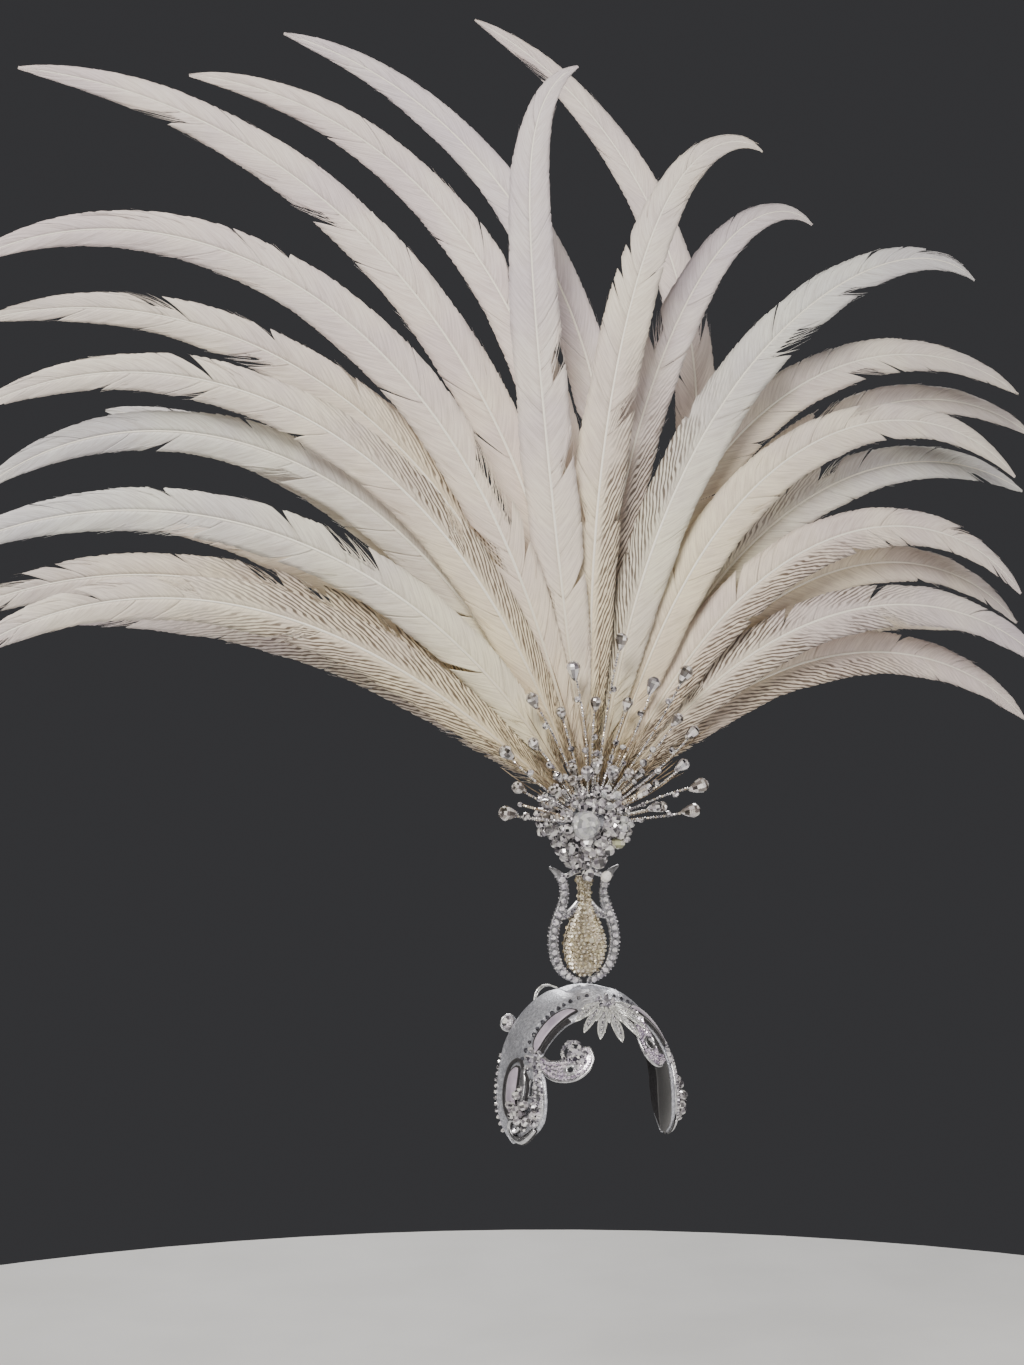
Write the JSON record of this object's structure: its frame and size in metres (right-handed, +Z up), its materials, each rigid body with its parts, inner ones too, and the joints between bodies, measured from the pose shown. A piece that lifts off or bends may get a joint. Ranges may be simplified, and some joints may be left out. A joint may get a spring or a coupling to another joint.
{
  "type": "feathered headdress",
  "caption": "Showgirl headdress: a fan of long white tail feathers on a lyre-shaped stem, rising from a silver band over the crown with scrolls and crystals.",
  "frame": {"origin": "where the inner face of the band rests on the crown of the head, at the band's middle", "axes": "+Z up, the wearer faces -Y and +X is the wearer's left"},
  "size_m": [1.1246, 0.3646, 1.0567],
  "materials": {
    "silver": "satin silver metal",
    "lilac_satin": "lilac-grey satin",
    "black_velvet": "black velvet edging",
    "strass": "clear cut stones set close together in silver",
    "cream_strass": "small cream and gold stones set close together",
    "crystal": "faceted clear crystal",
    "white_feather": "soft white feather vane with a cream rachis"
  },
  "bodies": {
    "root": {"crescent_left": "lilac_satin", "crescent_right": "lilac_satin", "crown_band": "silver", "crystal_cup": "crystal", "crystal_dome": "crystal", "disc_button": "strass", "ear_scroll_left": "silver", "ear_scroll_right": "silver", "feather_back_1": "white_feather", "feather_back_2": "white_feather", "feather_back_3": "white_feather", "feather_back_4": "white_feather", "feather_back_5": "white_feather", "feather_back_6": "white_feather", "feather_centre_1": "white_feather", "feather_centre_2": "white_feather", "feather_left_01": "white_feather", "feather_left_02": "white_feather", "feather_left_03": "white_feather", "feather_left_04": "white_feather", "feather_left_05": "white_feather", "feather_left_06": "white_feather", "feather_left_07": "white_feather", "feather_left_08": "white_feather", "feather_left_09": "white_feather", "feather_left_10": "white_feather", "feather_left_11": "white_feather", "feather_right_01": "white_feather", "feather_right_02": "white_feather", "feather_right_03": "white_feather", "feather_right_04": "white_feather", "feather_right_05": "white_feather", "feather_right_06": "white_feather", "feather_right_07": "white_feather", "feather_right_08": "white_feather", "feather_right_09": "white_feather", "feather_right_10": "white_feather", "feather_socket": "silver", "front_edge_left": "black_velvet", "front_edge_right": "black_velvet", "lyre": "silver", "lyre_foot": "silver", "palmette": "silver", "scroll_left": "strass", "scroll_right": "strass", "side_panel_left": "lilac_satin", "side_panel_right": "lilac_satin", "side_rib_left": "silver", "side_rib_right": "silver", "spray_front": "crystal", "spray_left": "crystal", "spray_right": "crystal", "temple_strip_left": "strass", "temple_strip_right": "strass", "vase": "cream_strass", "wire_loop": "silver"}
  },
  "joints": []
}
